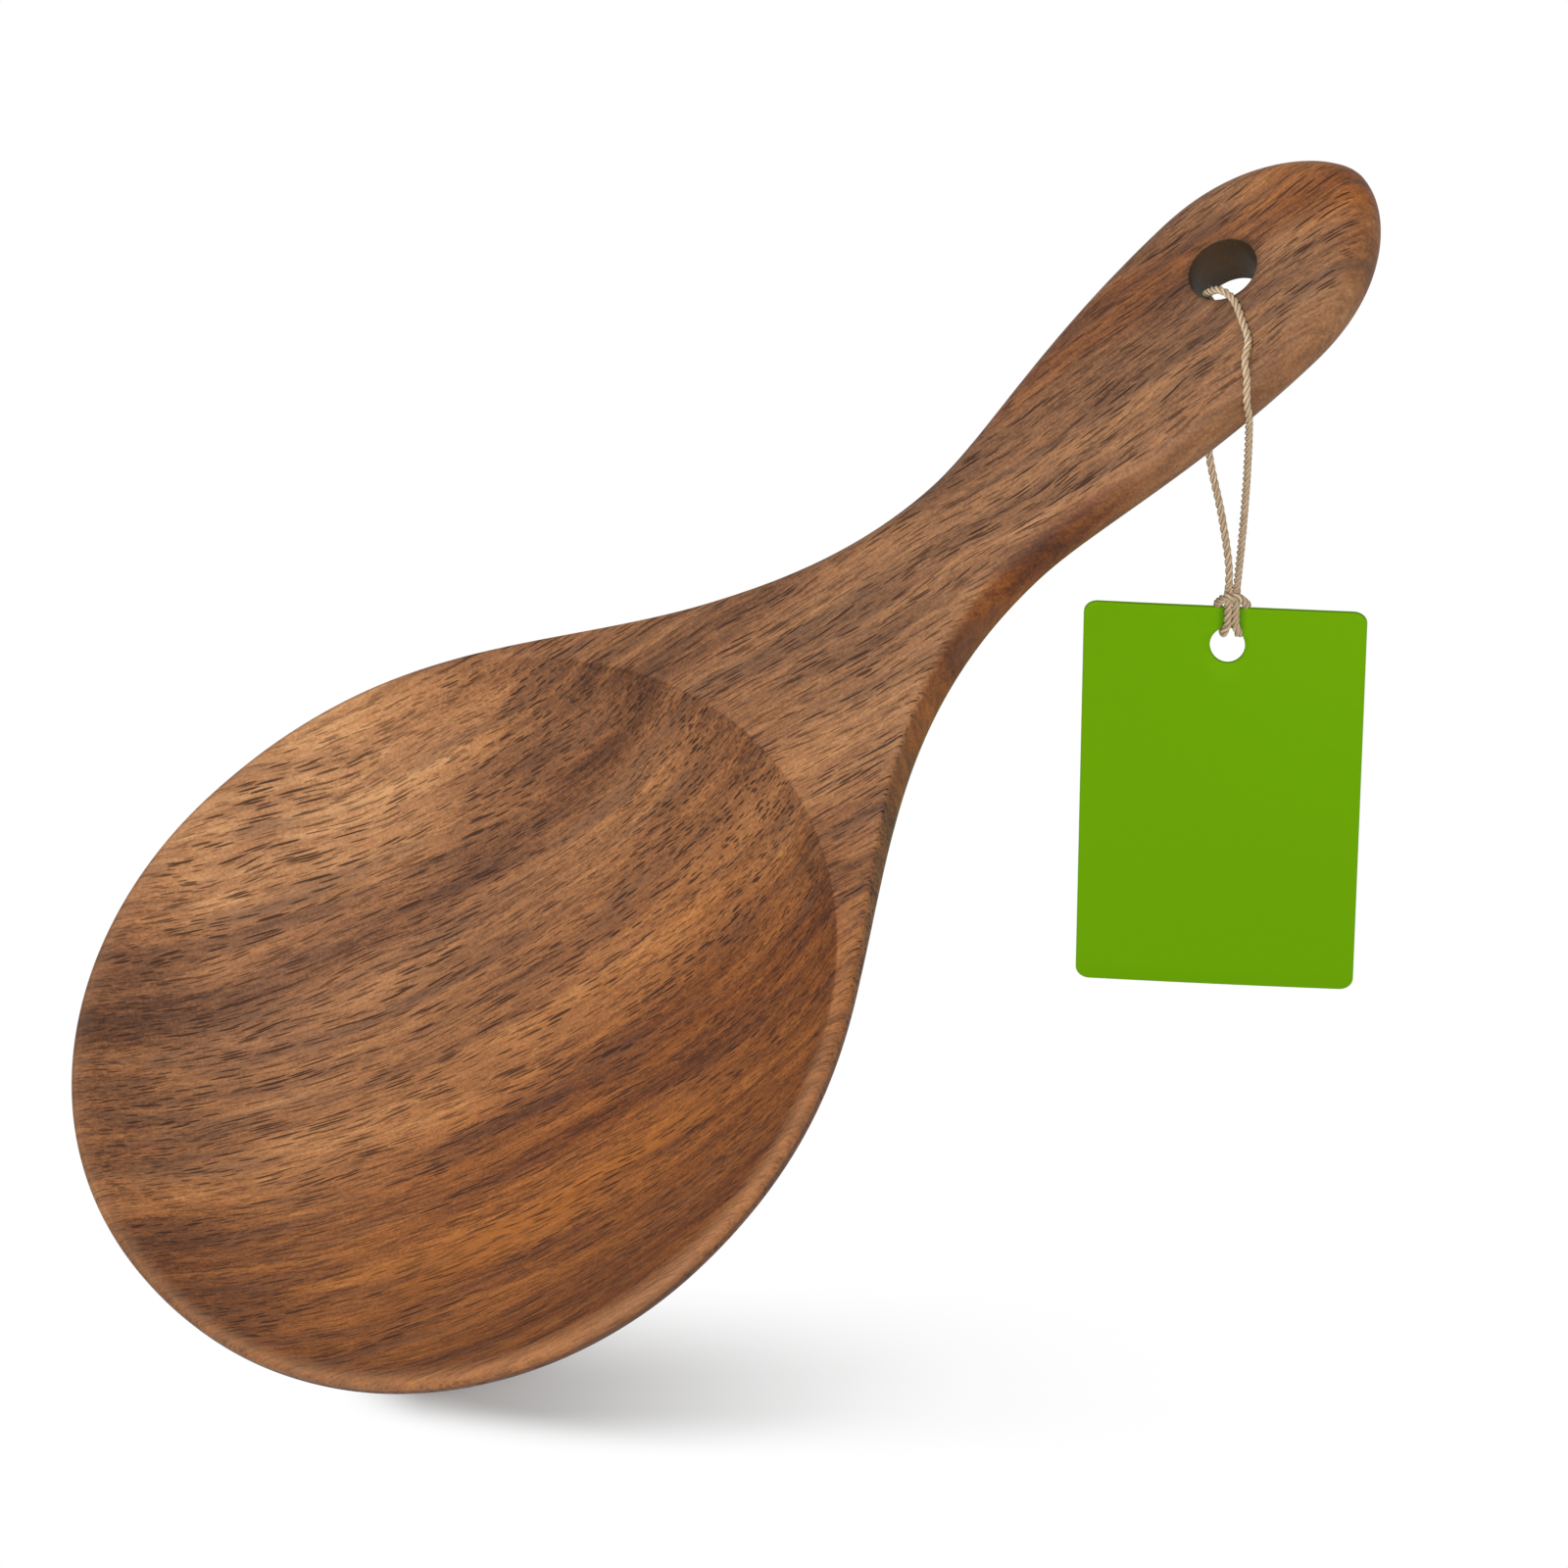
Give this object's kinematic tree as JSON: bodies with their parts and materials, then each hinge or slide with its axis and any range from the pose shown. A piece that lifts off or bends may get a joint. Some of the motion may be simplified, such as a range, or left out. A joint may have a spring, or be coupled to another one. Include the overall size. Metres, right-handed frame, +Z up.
{
  "type": "serving spoon",
  "caption": "Carved wooden serving spoon with a round dished bowl and a short drilled handle, and a plain card tag that hangs from the handle's hole on a loop of twine.",
  "frame": {"origin": "middle of the handle's grip, halfway through its thickness, where a hand holds the spoon up", "axes": "+Z up; +X level, from the bowl towards the handle's end; +Y to the left of someone who looks from the bowl towards the handle. The spoon's front faces up and its handle rises 27.4 degrees, so the tag hangs plumb at its side"},
  "size_m": [0.189, 0.1084, 0.1164],
  "materials": {
    "oiled_wood": "oiled hardwood with open pores and dark growth bands, satin",
    "jute_twine": "natural twisted jute twine, matt and slightly hairy",
    "green_card": "plain green printed card, smooth and nearly matt"
  },
  "bodies": {
    "spoon": {"wooden_spoon": "oiled_wood", "twine_hole_turn": "jute_twine"},
    "bridle": {"twine_front_strand": "jute_twine", "twine_knot": "jute_twine", "twine_back_strand": "jute_twine"},
    "tag": {"hang_tag": "green_card", "twine_hitch": "jute_twine"}
  },
  "joints": [
    {"name": "bridle_swing", "type": "hinge", "parent": "spoon", "child": "bridle", "pos_m": [0.0134, -0.00913, 0.00447], "axis": [0.4422, 0.8926, -0.088], "range_deg": [-40, 25]},
    {"name": "tag_flap", "type": "hinge", "parent": "bridle", "child": "tag", "pos_m": [0.0134, -0.00913, -0.03024], "axis": [0.7716, -0.6361, 0], "range_deg": [-40, 40]}
  ]
}
